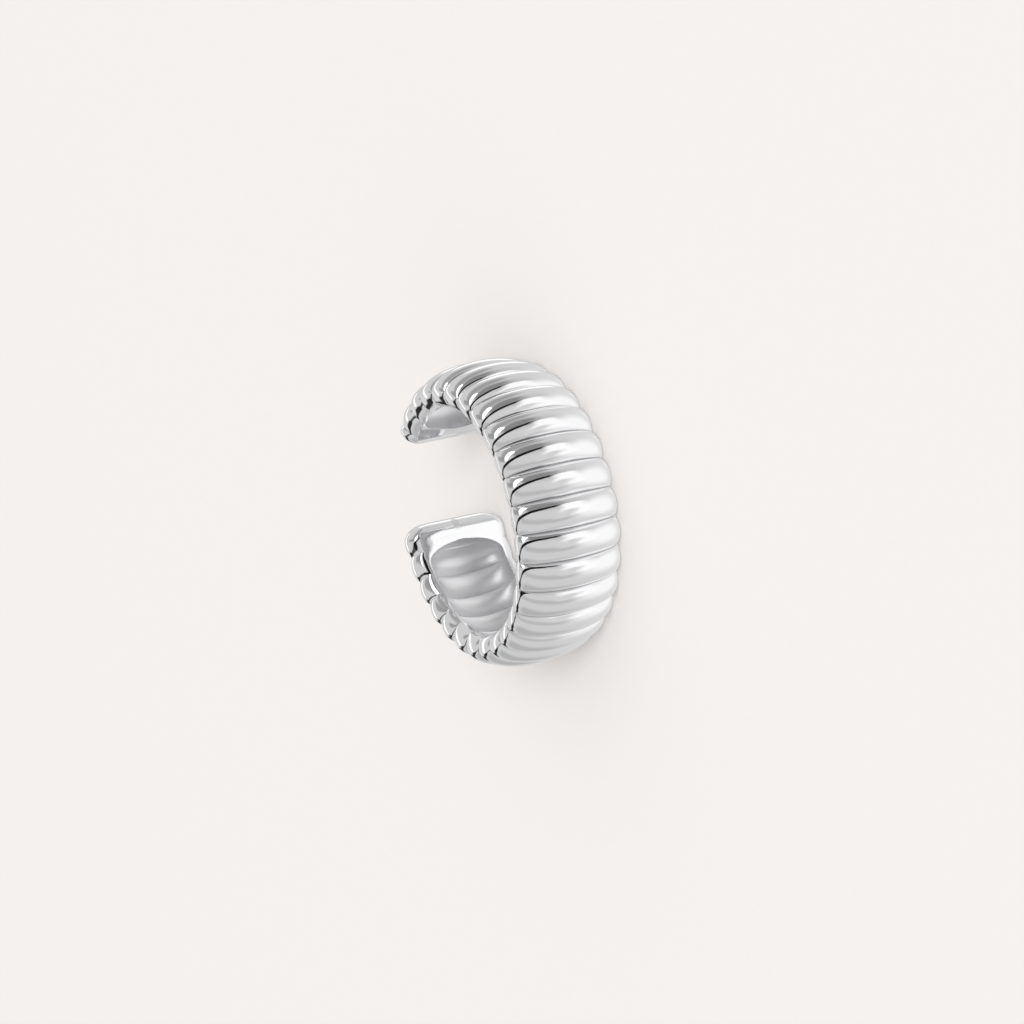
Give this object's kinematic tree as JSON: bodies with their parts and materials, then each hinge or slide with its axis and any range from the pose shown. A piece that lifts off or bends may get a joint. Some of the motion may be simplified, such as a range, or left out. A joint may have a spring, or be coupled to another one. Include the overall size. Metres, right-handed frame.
{
  "type": "ear cuff",
  "caption": "Open C-shaped cuff for the ear's edge: a domed band with half-round cross ribs, hollowed out inside, with a smooth rounded border at each tip of the gap.",
  "frame": {"origin": "middle of the cuff's box, on its underside, with the cuff lying on its side", "axes": "+Z along the ring's axis, +Y from the middle of the band towards the gap, X across the gap"},
  "size_m": [0.013, 0.0124, 0.0047],
  "materials": {
    "silver": "cast silver, mirror polished on the outside, the tips and the rims, and satin inside the hollow"
  },
  "bodies": {
    "root": {"ear_cuff": "silver"}
  },
  "joints": []
}
